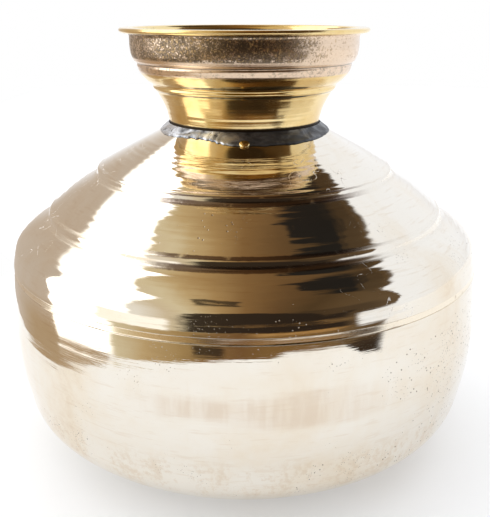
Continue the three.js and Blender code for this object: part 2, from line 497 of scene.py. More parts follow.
neckFinish = {
    "gold": (0.82, 0.65, 0.34),
    "deepGold": (0.72, 0.50, 0.20),
    "patina": (0.110, 0.085, 0.062),
    "speckle": (0.60, 0.42, 0.22),
    "copper": (0.74, 0.58, 0.46),
    # painted shadow: the colour of the dark band round the neck's foot
    "grimeAndPaintedShade": (0.035, 0.025, 0.016),
    "inner": (0.16, 0.105, 0.055),
    "shine": 0.15,
    "rougher": {"collar": 0.10, "tarnishAndPaintedShade": 0.14, "lines": 0.08, "deep": 0.3, "foot": 0.4},
    "fineLines": (900, 12),
    "broadLines": (380, 5),
    "cloud": (26, 4.0, 0.6),
    "blot": (150, 4.0, 0.7, 0.4),
    "grit": (650, 3.0, 0.75),
    "pits": (700, 0.22, 40, 0.54, 0),
    "collar": (0.625, 0.640, 0.945, 0.965),  # zones as shares of the neck's height
    "upperBand": (0.745, 0.765, 0.945, 0.965),
    "lowerBandTop": (0.715, 0.700),
    "footTop": (0.218, 0.205),
    "grooves": [(0.7090, 0.0075, 0.0015), (0.4775, 0.006, 0.001)],  # level, outer and inner half width
    "relief": {"fine": 0.000014, "broad": 0.000034, "grit": 0.000030, "pits": 0.00008},
}


# The neck's metal: gold below, coppery on the collar, and a mottled dark patina on the upper band
# that thins out towards the right, with a painted shadow round its foot.
def neckBrass():
    look = neckFinish
    recipe = newRecipe("turnedNeckBrass")
    place = recipe.objectPlace()
    x, y, z = recipe.parts(place)
    inside = recipe.attribute("inside")
    level = (z - neckLow.z) / (neckHigh.z - neckLow.z)
    fine = turningLines(recipe, *look["fineLines"])
    broad = turningLines(recipe, *look["broadLines"])
    cloud = recipe.noise(place, *look["cloud"])
    blot = recipe.noise(place, *look["blot"])
    grit = recipe.noise(place, *look["grit"])
    pits = pitMask(recipe, place, look["pits"])
    collar = level.within(*look["collar"])
    upperBand = level.within(*look["upperBand"])
    lowerBand = collar * level.rise(*look["lowerBandTop"])
    toRight = x.rise(0.010, 0.050)
    toLeft = x.rise(-0.02, -0.07)
    mottle = cloud * 0.25 + blot * 0.30 + grit * 0.75
    tarnishAndPaintedShade = (mottle - toRight * 0.115 - toLeft * 0.05).rise(0.550, 0.640)
    # Painted shadow: a dark band round the neck's foot, where it meets the solder ring.
    foot = (level + (grit - 0.5) * 0.010).rise(*look["footTop"])
    grooves = sum(abs(level - middle).rise(far, near) for middle, far, near in look["grooves"])
    deep = inside * level.rise(0.95, 0.75)

    color = recipe.mix(cloud.rise(0.35, 0.7), look["gold"], look["deepGold"])
    color = recipe.mix(collar * 0.85, color, look["copper"])
    darkBand = recipe.mix(grit.rise(0.50, 0.70), look["patina"], look["speckle"])
    color = recipe.mix((tarnishAndPaintedShade * 0.75 + 0.25 * (1 - toRight)) * upperBand, color, darkBand)
    color = recipe.mix((grit * 0.7 + blot * 0.4).rise(0.55, 0.66) * lowerBand * 0.5, color, look["patina"])
    color = recipe.mix(pits, color, look["patina"])
    # painted shadow at the neck's foot
    color = recipe.mix(foot * (1 - inside), color, look["grimeAndPaintedShade"])
    color = recipe.mix(grooves * (1 - inside) * 0.7, color, look["patina"])
    color = recipe.mix(deep * 0.9, color, look["inner"])

    rougher = look["rougher"]
    roughness = look["shine"] + collar * rougher["collar"] + tarnishAndPaintedShade * upperBand * rougher["tarnishAndPaintedShade"]
    roughness = roughness + (broad - 0.5) * rougher["lines"]
    roughness = roughness + deep * rougher["deep"] + foot * rougher["foot"]

    relief = look["relief"]
    height = (fine - 0.5) * relief["fine"] + (broad - 0.5) * relief["broad"]
    height = height + (grit - 0.5) * collar * relief["grit"] - pits * relief["pits"]
    return finishMetal(recipe, color, roughness, height)


solderFinish = {
    "lead": (0.135, 0.142, 0.160),
    "bright": (0.52, 0.54, 0.58),
    "dark": (0.035, 0.034, 0.034),
    "rough": 0.27,
    "metallic": 0.85,
    "smear": (70, 5.0, 0.65, 0.8),
    "blotch": (26, 3.0, 0.6),
    "grain": (420, 3.0, 0.7),
    "relief": {"smear": 0.0004, "grain": 0.00005},
}


# Grey solder, wiped bright in patches and darker towards the right.
def dullSolder():
    look = solderFinish
    recipe = newRecipe("smearedSolder")
    place = recipe.objectPlace()
    smear = recipe.noise(place, *look["smear"])
    blotch = recipe.noise(place, *look["blotch"])
    grain = recipe.noise(place, *look["grain"])
    x, y, z = recipe.parts(place)
    wiped = (smear * 0.7 + blotch * 0.5 + x.rise(0.02, -0.045) * 0.13).rise(0.58, 0.78)
    color = recipe.mix(wiped, look["lead"], look["bright"])
    color = recipe.mix((smear * 0.6 + grain * 0.4).rise(0.46, 0.34), color, look["dark"])
    color = recipe.mix(x.rise(-0.016, 0.004) * 0.62, color, look["dark"])
    roughness = look["rough"] + (1 - wiped) * 0.18 + (grain - 0.5) * 0.2
    height = (smear - 0.5) * look["relief"]["smear"] + (grain - 0.5) * look["relief"]["grain"]
    return finishMetal(recipe, color, roughness, height, look["metallic"])


seamFinish = {
    "braze": (0.83, 0.745, 0.61),
    "dark": (0.42, 0.29, 0.16),
    "shine": 0.10,
    "blotch": (60, 4.0, 0.65),
    "grain": (500, 3.0, 0.7),
    "relief": {"grain": 0.00001, "blotch": 0.00003},
}


# Braze polished with the body, with darker blotches.
def seamBraze():
    look = seamFinish
    recipe = newRecipe("polishedSeamBraze")
    place = recipe.objectPlace()
    blotch = recipe.noise(place, *look["blotch"])
    grain = recipe.noise(place, *look["grain"])
    color = recipe.mix((blotch * 0.7 + grain * 0.4).rise(0.60, 0.80), look["braze"], look["dark"])
    roughness = look["shine"] + blotch * 0.10
    height = (grain - 0.5) * look["relief"]["grain"] + (blotch - 0.5) * look["relief"]["blotch"]
    return finishMetal(recipe, color, roughness, height)


rivetFinish = {
    "brass": (0.82, 0.64, 0.33),
    "grimeAndPaintedShade": (0.16, 0.10, 0.05),
    "shine": 0.10,
    "blotch": (300, 3.0, 0.6),
    "grain": (1500, 2.0, 0.6),
    "relief": {"blotch": 0.00006, "grain": 0.00001},
}


# Yellow brass with grime in its hollows.
def rivetBrass():
    look = rivetFinish
    recipe = newRecipe("domedRivetBrass")
    place = recipe.objectPlace()
    blotch = recipe.noise(place, *look["blotch"])
    grain = recipe.noise(place, *look["grain"])
    color = recipe.mix(blotch.rise(0.50, 0.72), look["brass"], look["grimeAndPaintedShade"])
    roughness = look["shine"] + blotch * 0.2
    height = (blotch - 0.5) * look["relief"]["blotch"] + (grain - 0.5) * look["relief"]["grain"]
    return finishMetal(recipe, color, roughness, height)


bowl = {
    "around": 288,
    "sheet": 0.0016,
    "outline": [  # shares of the belly's radius and the bowl's height, from the foot up
        (0.15, 0.0), (0.291, 0.0), (0.5335, 0.0217), (0.7518, 0.0976), (0.873, 0.180),
        (0.9506, 0.2746), (0.9785, 0.400), (0.9943, 0.515), (0.9992, 0.637), (0.9949, 0.732),
        (0.9905, 0.8135), (0.9868, 0.871), (0.9806, 0.9285),
    ],
    "tongue": 0.0104,  # the lap that stands up inside the shoulder
    "tongueInset": 0.0022,
    "ledge": [(-0.00008, -0.00010), (-0.0003, 0)],  # offsets from the wall's top edge
    "tongueFoot": [(0.0003, 0), (0, 0.0003)],
    "tongueTop": [(-0.0001, -0.005), (-0.0003, -0.0002), (-0.0006, 0)],
    "tongueBack": [(0, -0.0084), (0, -0.0006), (0.0004, 0)],
    "spacing": 0.0013,
    "wear": 0.0007,
    "innerSpacing": 0.0036,
    "innerWear": 0.0016,
    "hammering": 0.00016,  # depth of the broad waves left by raising
    "hammerWaves": (26, 7, 0.050, 0.220),  # how many, most turns, shortest and longest
    "hammerRest": 2.4,  # keeps the waves below the true surface
    "turning": 0.000030,
    "turningWaves": (34, 1, 0.0045, 0.016),
    "calmFoot": (0.03, 0.08),  # where the waves start and how soon they are full
    "calmRim": (0.016, 0.03),
    "seed": 11,
}


# The bowl: its outline is one smooth curve from foot to seam, then a ledge and a tongue. The inside
# is the same curve moved in along its normals by the sheet's thickness.
def makeBowl(material):
    rng = np.random.default_rng(bowl["seed"])
    broad = waves(rng, *bowl["hammerWaves"])
    lines = waves(rng, *bowl["turningWaves"])
    curve = curveThrough(placed(bowl["outline"], bowlLow, bowlHigh))
    wall = worn(curve, bowl["spacing"], bowl["wear"])
    wall[:, 1] = np.maximum(wall[:, 1], bowlLow.z)
    wall = np.vstack([wall[:-1], wall[-1] * 0.88 + wall[-2] * 0.12, wall[-1]])
    top = bowlHigh.z
    bend = top - bowl["tongue"]
    edgeRadius = wall[-1, 0]
    tongueRadius = edgeRadius - bowl["tongueInset"]
    outer = np.vstack([
        wall, offsetsFrom(edgeRadius, bend, bowl["ledge"]),
        offsetsFrom(tongueRadius, bend, bowl["tongueFoot"]),
        offsetsFrom(tongueRadius, top, bowl["tongueTop"]),
    ])
    sheet = bowl["sheet"]
    innerWall = worn(wall - normalsOf(wall) * sheet, bowl["innerSpacing"], bowl["innerWear"])
    innerWall[:, 1] = np.maximum(innerWall[:, 1], bowlLow.z + sheet * 0.8)
    inner = np.vstack([innerWall, offsetsFrom(tongueRadius - sheet, top, bowl["tongueBack"])])[::-1]
    total = lengthAlong(outer)[-1]

    def push(angle, along, isInside):
        fade = fadeIn(along, *bowl["calmFoot"]) * fadeIn(total - along, *bowl["calmRim"])
        dent = bowl["hammering"] * (broad(angle, along) - bowl["hammerRest"])
        fineLines = 0 if isInside else bowl["turning"] * lines(angle, along)
        return fade * np.minimum(dent + fineLines, 0)

    piece = turnedShell("baseBowl", outer, inner, bowl["around"], push, poles=True)
    piece.data.materials.append(material)
    return piece


shoulder = {
    "around": 240,
    "sheet": 0.0016,
    "roundOver": [  # shares of the shoulder's radius and height, from the skirt up
        (0.9950, 0.0), (0.9903, 0.054), (0.9735, 0.161), (0.923, 0.251), (0.8628, 0.3110),
    ],
    "lowerRiser": [
        (0.8510, 0.3225), (0.8442, 0.3340), (0.8413, 0.3455), (0.8396, 0.3584), (0.8384, 0.3699),
        (0.8368, 0.3815), (0.8337, 0.3931), (0.8280, 0.4023),
    ],
    "middleBand": [(0.8197, 0.4127), (0.7323, 0.5387), (0.6437, 0.6382)],
    "upperRiser": [
        (0.6351, 0.6474), (0.6314, 0.6578), (0.6295, 0.6694), (0.6286, 0.6809), (0.6271, 0.6913),
        (0.6234, 0.7017), (0.6166, 0.7110),
    ],
    "topBand": [(0.6055, 0.7202), (0.529, 0.801), (0.427, 0.903), (0.3206, 1.0)],
    # painted shade: the places of the dark lines painted at the foot and the brow of each riser, and their
    # half widths
    "tarnishAndPaintedShade": [  # dark lines at the foot and the brow of each riser: place and half width
        (0.8431, 0.334, 0.0025), (0.8277, 0.4023, 0.0017),
        (0.6351, 0.650, 0.0022), (0.6250, 0.696, 0.0008),
    ],
    "spacing": 0.0005,
    "wear": 0.00040,
    "innerSpacing": 0.0030,
    "innerWear": 0.0014,
    "hammering": 0.00010,
    "hammerWaves": (24, 6, 0.045, 0.160),
    "hammerRest": 2.2,
    "turning": 0.000032,
    "turningWaves": (44, 1, 0.0040, 0.017),
    "calmSkirt": (0, 0.012),
    "calmTop": (0, 0.025),
    "seed": 23,
}


# The outside of the shoulder: five smooth curves joined by short straight edges.
def shoulderOutline():
    parts = [curveThrough(placed(shoulder[key], shoulderLow, shoulderHigh))
             for key in ("roundOver", "lowerRiser", "middleBand", "upperRiser", "topBand")]
    return np.vstack(parts)


# Where shade is painted at the front: the length along the outline to each dark line, and its half width.
def stepCorners():
    outline = shoulderOutline()
    length = lengthAlong(outline)
    corners = []
    for radius, height, width in shoulder["tarnishAndPaintedShade"]:
        x, z = placed([(radius, height)], shoulderLow, shoulderHigh)[0]
        nearest = np.argmin(np.hypot(outline[:, 0] - x, outline[:, 1] - z))
        corners.append((float(length[nearest]), width))
    return corners


# Height of the shoulder's outside at a radius near the neck, and its slope there in radians.
def shoulderAt(radius):
    step = 0.002
    outline = shoulderOutline()[::-1]
    height = np.interp(radius, outline[:, 0], outline[:, 1])
    lower = np.interp(radius + step, outline[:, 0], outline[:, 1])
    return height, math.atan2(height - lower, step)


# The shoulder: the stepped outline, and inside it the same outline moved in along its normals.
def makeShoulder(material):
    rng = np.random.default_rng(shoulder["seed"])
    broad = waves(rng, *shoulder["hammerWaves"])
    lines = waves(rng, *shoulder["turningWaves"])
    sheet = shoulder["sheet"]
    outer = worn(shoulderOutline(), shoulder["spacing"], shoulder["wear"])
    outer[-1, 0] = shoulderHigh.x * shoulder["topBand"][-1][0]
    outer = np.vstack([outer[0], outer[0] * 0.8 + outer[1] * 0.2, outer[1:]])
    inner = worn(outer - normalsOf(outer) * sheet, shoulder["innerSpacing"], shoulder["innerWear"])[::-1]
    inner[0, 0] = outer[-1, 0]
    inner[-1, 1] = outer[0, 1]
    total = lengthAlong(outer)[-1]

    def push(angle, along, isInside):
        fade = fadeIn(along, *shoulder["calmSkirt"]) * fadeIn(total - along, *shoulder["calmTop"])
        dent = shoulder["hammering"] * (broad(angle, along) - shoulder["hammerRest"])
        fineLines = 0 if isInside else shoulder["turning"] * lines(angle, along)
        return fade * (dent + fineLines)

    piece = turnedShell("shoulderShell", outer, inner, shoulder["around"], push)
    piece.data.materials.append(material)
    return piece


seam = {
    "around": 360,
    "lift": 0.00015,  # the bead stands this much above its box's foot
    "face": [  # offsets from the wall's top edge, from the bead's foot up
        (-0.0009, 0), (-0.0001, 0), (0, 0.0001), (-0.00002, 0.0002), (-0.00014, 0.0012),
        (-0.00028, 0.0023), (-0.00043, 0.0033),
    ],
    "top": [(-0.00044, -0.0002), (-0.00055, -0.00006), (-0.0013, 0)],
    "back": 0.0019,
    "waver": 0.00006,
    "waverWaves": (30, 40, 0.01, 0.05),
    "waverRest": 1.5,
    "seed": 5,
}


# The bead's section: a low face that carries the bowl's wall up to the shoulder, rolled over at its
# top edge, with a flat back against the lap. It wavers in and out a little round the pot.
def makeSeam(material):
    rng = np.random.default_rng(seam["seed"])
    ripple = waves(rng, *seam["waverWaves"])
    wallRadius = bowl["outline"][-1][0] * bellyRadius
    low = beadLow.z + seam["lift"]
    high = beadHigh.z + seam["lift"]
    outer = np.vstack([
        offsetsFrom(wallRadius, low, seam["face"]), offsetsFrom(wallRadius, high, seam["top"]),
    ])
    back = wallRadius - seam["back"]
    inner = np.array([(back, high - 0.0002), (back, low + 0.0003)])

    def push(angle, along, isInside):
        waver = seam["waver"] * (ripple(angle, along) - seam["waverRest"])
        return 0 * waver if isInside else waver

    piece = turnedShell("bodySeamBead", outer, inner, seam["around"], push)
    piece.data.materials.append(material)
    return piece


neck = {
    "around": 288,
    "flare": [  # shares of the lip's radius and the neck's height, from the waist up
        (0.625, 0.150), (0.625, 0.221), (0.657, 0.339), (0.716, 0.461),
    ],
    "ridge": [(0.7355, 0.479), (0.7478, 0.4975), (0.7450, 0.516)],
    "cove": [(0.7512, 0.529), (0.797, 0.566), (0.8357, 0.611)],
    "lowerBand": [(0.855, 0.645), (0.8683, 0.690)],
    "groove": [(0.8625, 0.7010), (0.8750, 0.7170)],
    "roundIn": [(0.889, 0.7275), (0.9094, 0.778), (0.919, 0.8415)],
    "lip": [
        (0.919, 0.930), (0.931, 0.9525), (0.968, 0.9580), (0.986, 0.9590), (0.9975, 0.972),
        (1.0, 0.983), (0.992, 0.9955), (0.978, 1.0),
    ],
    "bore": [  # from the mouth down
        (0.924, 1.0), (0.900, 0.991), (0.886, 0.947), (0.8853, 0.8415), (0.8700, 0.755),
        (0.8164, 0.643), (0.7428, 0.558), (0.6763, 0.445), (0.6184, 0.339), (0.587, 0.234),
    ],
    "flangeRadius": 0.0665,
    "flange": 0.0020,  # its thickness
    "waistStep": 0.0004,
    "spacing": 0.0005,
    "wear": 0.00032,
    "innerSpacing": 0.0012,
    "innerWear": 0.0008,
    "turning": 0.000022,
    "turningWaves": (40, 1, 0.0022, 0.009),
    "calmFoot": (0.022, 0.004),
    "calmLip": (0.010, 0.004),
    "seed": 37,
}


# The neck's outside and inside. The flange at the foot lies under the shoulder, with the slope that
# the shoulder has between the neck's waist and the flange's edge.
def neckOutlines():
    def share(key):
        return placed(neck[key], neckLow, neckHigh)

    waist = share("flare")[0, 0]
    foot = neckLow.z
    flangeRadius = neck["flangeRadius"]
    slope = (shoulderAt(waist)[0] - shoulderAt(flangeRadius)[0]) / (flangeRadius - waist)
    flangeTop = foot + neck["flange"] / math.cos(math.atan(slope))
    boreRadius = share("bore")[-1, 0]
    boreFoot = foot + slope * (flangeRadius - boreRadius)
    flange = np.array([
        (flangeRadius, foot), (flangeRadius, flangeTop),
        (waist + neck["waistStep"], flangeTop + slope * (flangeRadius - waist)),
    ])
    outer = np.vstack([
        flange, curveThrough(share("flare")), share("ridge"), curveThrough(share("cove")),
        share("lowerBand"), share("groove"), curveThrough(share("roundIn")), curveThrough(share("lip")),
    ])
    inner = np.vstack([curveThrough(share("bore")), [(boreRadius, boreFoot)]])
    return outer, inner


# The neck, with fine turning lines outside between its foot and its lip.
def makeNeck(material):
    rng = np.random.default_rng(neck["seed"])
    lines = waves(rng, *neck["turningWaves"])
    outer, inner = neckOutlines()
    outer = worn(outer, neck["spacing"], neck["wear"])
    outer[-1, 1] = neckHigh.z
    inner = worn(inner, neck["innerSpacing"], neck["innerWear"])
    inner[0, 1] = neckHigh.z
    total = lengthAlong(outer)[-1]

    def push(angle, along, isInside):
        fade = fadeIn(along, *neck["calmFoot"]) * fadeIn(total - along, *neck["calmLip"])
        fineLines = 0 if isInside else neck["turning"] * lines(angle, along)
        return fade * fineLines

    piece = turnedShell("neckCollar", outer, inner, neck["around"], push)
    piece.data.materials.append(material)
    return piece


solder = {
    "around": 480,
    "rows": 28,
    "thickness": 0.0008,  # at the ragged edge
    "margin": 0.0004,  # the edge's mean radius inside its box
    "neckGap": 0.0003,
    "bed": 0.0002,  # its underside above the shoulder
    "wander": 0.00032,  # how far the edge wanders in and out
    "wanderWaves": (30, 22, 1, 2),
    "nibble": 0.00012,  # small bites all round the edge
    "frontNibble": (0.0004, -0.45, 0.35),  # more of them at the front: depth, place and width
    "nibbleWaves": (30, 110, 1, 2),
    "frontSpread": (0.0030, -0.24, 0.05, 1.1),  # the extra run of solder: width, start, ramp, reach
    "bareBay": (0.0014, -0.60, 0.30),  # where the brass shows: depth, place and width
    "lumps": 0.00022,
    "lumpWaves": (40, 30, 0.004, 0.012),
    "roundFrom": 0.86,  # the share of its width where the face starts to round down
    "seed": 41,
}


# Across the ring, t runs from the neck (0) to the ragged edge (1). The face falls as (1 - t) to the
# power 1.5 from the top of the fillet to the edge's thickness, and rounds down in a quarter circle
# at the edge. Places round it are angles in radians from the front, growing towards the right.
def makeSolder(material):
    rng = np.random.default_rng(solder["seed"])
    around, rows = solder["around"], solder["rows"]
    wander = waves(rng, *solder["wanderWaves"])
    nibble = waves(rng, *solder["nibbleWaves"])
    lump = waves(rng, *solder["lumpWaves"])
    angle = np.linspace(0, 2 * math.pi, around, endpoint=False)[None, :]
    t = np.linspace(0, 1, rows)[:, None]
    front = np.angle(np.exp(1j * (angle + math.pi / 2)))
    still = 0 * angle

    def hump(depth, middle, width):
        return depth * np.exp(-((front - middle) / width) ** 2)

    width, start, ramp, reach = solder["frontSpread"]
    spread = width / (1 + np.exp(-(front - start) / ramp)) * np.exp(-(front / reach) ** 4)
    inside = neck["flare"][0][0] * neckHigh.x + solder["neckGap"]
    edge = solderHigh.x - solder["margin"] + spread - hump(*solder["bareBay"])
    edge = edge + solder["wander"] * wander(angle, still)
    edge = edge + (solder["nibble"] + hump(*solder["frontNibble"])) * nibble(angle, still)
    radius = inside + (edge - inside) * t
    bed = np.interp(radius, *shoulderOutline()[::-1].T) + solder["bed"]
    drop = solderHigh.z - bed[0] - solder["thickness"]
    hollow = drop * (1 - t) ** 1.5 + solder["thickness"]
    past = fadeIn(t, solder["roundFrom"], 1 - solder["roundFrom"])
    roundOff = np.sqrt(np.clip(1 - past ** 2, 0, 1))
    swell = solder["lumps"] * lump(angle, radius) * np.sin(math.pi * t)
    face = bed + np.maximum(hollow * roundOff + swell, 0.00002)

    def carriedRound(height):
        return np.stack([radius * np.cos(angle), radius * np.sin(angle), height], axis=-1)

    grid = np.concatenate([carriedRound(bed), carriedRound(face)[::-1]])
    quads = ringFaces(2 * rows, around, True)
    piece = makePiece("neckSolderRing", grid.reshape(-1, 3), quads)
    piece.data.materials.append(material)
    return piece


rivet = {
    "around": 64,
    "head": 0.0034,  # radius
    "dome": 0.0013,  # height
    "domeSteps": 24,
    "domePower": 0.8,  # below 1 the dome is fuller at its edge
    "headFoot": 0.0003,  # the head's flat underside above the shoulder
    "headEdge": 0.0001,
    "shank": 0.0020,
    "depth": 0.0044,  # from the shoulder to the tail
    "tail": 0.0030,
    "tailThick": 0.0011,
    "tailEdge": 0.0005,
    "uneven": 0.00004,
    "unevenWaves": (8, 4, 0.002, 0.006),
    "unevenFrom": 0.012,
    "seat": 0.0595,  # distance from the pot's axis to the rivet's
    "nodes": {"neck_rivet_front": "neckRivetFront", "neck_rivet_right": "neckRivetRight",
              "neck_rivet_left": "neckRivetLeft"},
}


# A flattened tail, a shank and a low dome: at bend from 0 to a quarter turn the dome's radius is the
# head's times a power of the cosine, and its height goes with the sine. It is turned about its own
# axis and then seated square on the shoulder.
def makeRivet(node, name, material, seed):
    rng = np.random.default_rng(seed)
    uneven = waves(rng, *rivet["unevenWaves"])
    head, shank, tail = rivet["head"], rivet["shank"], rivet["tail"]
    tailTop, headFoot = -rivet["depth"], rivet["headFoot"]
    tailFoot = tailTop - rivet["tailThick"]
    bend = np.linspace(0, math.pi / 2, rivet["domeSteps"])[:-1]
    dome = np.column_stack([
        head * np.cos(bend) ** rivet["domePower"],
        headFoot + rivet["headEdge"] + rivet["dome"] * np.sin(bend),
    ])
    outline = np.vstack([
        [(0.0002, tailFoot), (tail - 0.0006, tailFoot), (tail, tailTop - rivet["tailEdge"]),
         (tail, tailTop), (shank, tailTop), (shank, headFoot), (head - 0.0002, headFoot)],
        dome,
    ])
    around = rivet["around"]

    def push(angle, along):
        return rivet["uneven"] * uneven(angle, along) * (along > rivet["unevenFrom"])

    grid = turnedGrid(outline, around, push)
    rows = len(grid)
    points = np.vstack([grid.reshape(-1, 3), [0, 0, tailFoot], [0, 0, grid[-1, :, 2].mean()]])
    fans = np.vstack([fanFaces(rows * around, 0, around, True),
                      fanFaces(rows * around + 1, (rows - 1) * around, around, False)])
    piece = makePiece(name, points, ringFaces(rows, around, False), fans)
    low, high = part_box(node)
    middle = (low + high) / 2
    heading = math.atan2(middle.y, middle.x)
    height, slope = shoulderAt(rivet["seat"])
    seat = Matrix.Rotation(heading, 4, "Z") @ Matrix.Translation((rivet["seat"], 0, height))
    piece.data.transform(seat @ Matrix.Rotation(slope, 4, "Y"))
    piece.data.materials.append(material)
    return piece


studio = {
    "tableEdge": [  # the floor's reach from the pot's axis, by degrees round from the camera's side
        (-180, 2.6), (-162, 2.6), (-140, 0.43), (-120, 0.375), (-100, 0.35), (-77, 0.355),
        (-60, 0.41), (-47, 0.46), (-35, 0.49), (-20, 0.53), (-6, 0.585), (9, 0.60), (17, 0.70),
        (39, 0.70), (45, 0.53), (54, 0.50), (60, 0.80), (75, 2.6), (180, 2.6),
    ],
    "tableSteps": 720,
    "floor": (0.86, 0.868, 0.885),
    "floorGlow": 0.20,
    "white": (1.11, 1.14, 1.20),
    "softbox": (2.6, 2.6, 2.6),
    "grey": (0.84, 0.83, 0.85),
    "tan": (0.64, 0.55, 0.47),
    "lowTan": (0.52, 0.39, 0.25),
    "lowGold": (0.55, 0.32, 0.12),
    "leftStep": (1.35, 1.30, 1.20),
    "dark": (0.030, 0.021, 0.015),
    "black": (0.016, 0.015, 0.014),
    "room": [  # the warm room, from left (-1) to right (1) of the camera
        (-0.75, (0.98, 0.94, 0.86)), (-0.56, (0.74, 0.62, 0.44)), (-0.42, (0.78, 0.67, 0.45)),
        (-0.29, (0.62, 0.46, 0.24)), (-0.16, (0.45, 0.29, 0.125)), (0.0, (0.262, 0.146, 0.056)),
        (0.20, (0.158, 0.088, 0.037)), (0.42, (0.094, 0.057, 0.026)), (0.62, (0.13, 0.082, 0.040)),
        (0.88, (0.15, 0.098, 0.052)),
    ],
    "low": [  # the room below the horizon, by degrees round from the camera's side
        (-62, (0.80, 0.72, 0.52)), (-45, (0.60, 0.44, 0.23)), (-28, (0.42, 0.28, 0.12)),
        (-12, (0.26, 0.15, 0.062)), (-2, (0.20, 0.105, 0.042)), (12, (0.24, 0.135, 0.048)),
        (30, (0.22, 0.125, 0.045)), (40, (0.20, 0.12, 0.05)), (50, (0.17, 0.11, 0.055)),
        (62, (0.14, 0.09, 0.05)),
    ],
    "lowSpan": 140,  # the degrees that the ramp of low takes in
    # Zones in degrees, or in shares to the right for overhead: low, high and softness.
    "lowAcross": (-63, 63, 3),
    "panels": {  # across, then up
        "goldStrip": ((4, 44, 5), (-9.5, -5, 0.8)),
        "leftStep": ((-70, -34, 2), (-7, 1.5, 1)),
        "shade": ((25, 66, 8), (2, 30, 6)),
        "overhead": ((-0.29, -0.03, 0.02), (60, 73, 1.5)),
        "rightBlack": ((88, 146, 4), (49, 75, 1.5)),
        "lowBlockLeft": ((-23, -9, 1.5), (-15.5, -11, 0.6)),
        "lowBlockRight": ((42, 64, 2), (-21, -13, 0.6)),
    },
    "rightStepUp": (-9, 2.5, 1.5),
    "domeAcross": (-28, 47, 5),
    "domeFoot": -4.0,
    "domeTop": 33,  # in front; it falls to the sides
    "domeLeast": 7,
    "softboxAcross": (-162, -152, -30, -20),  # zones in degrees: out, in, in, out
    "tanAcross": (-172, -150, -67, -62),
}


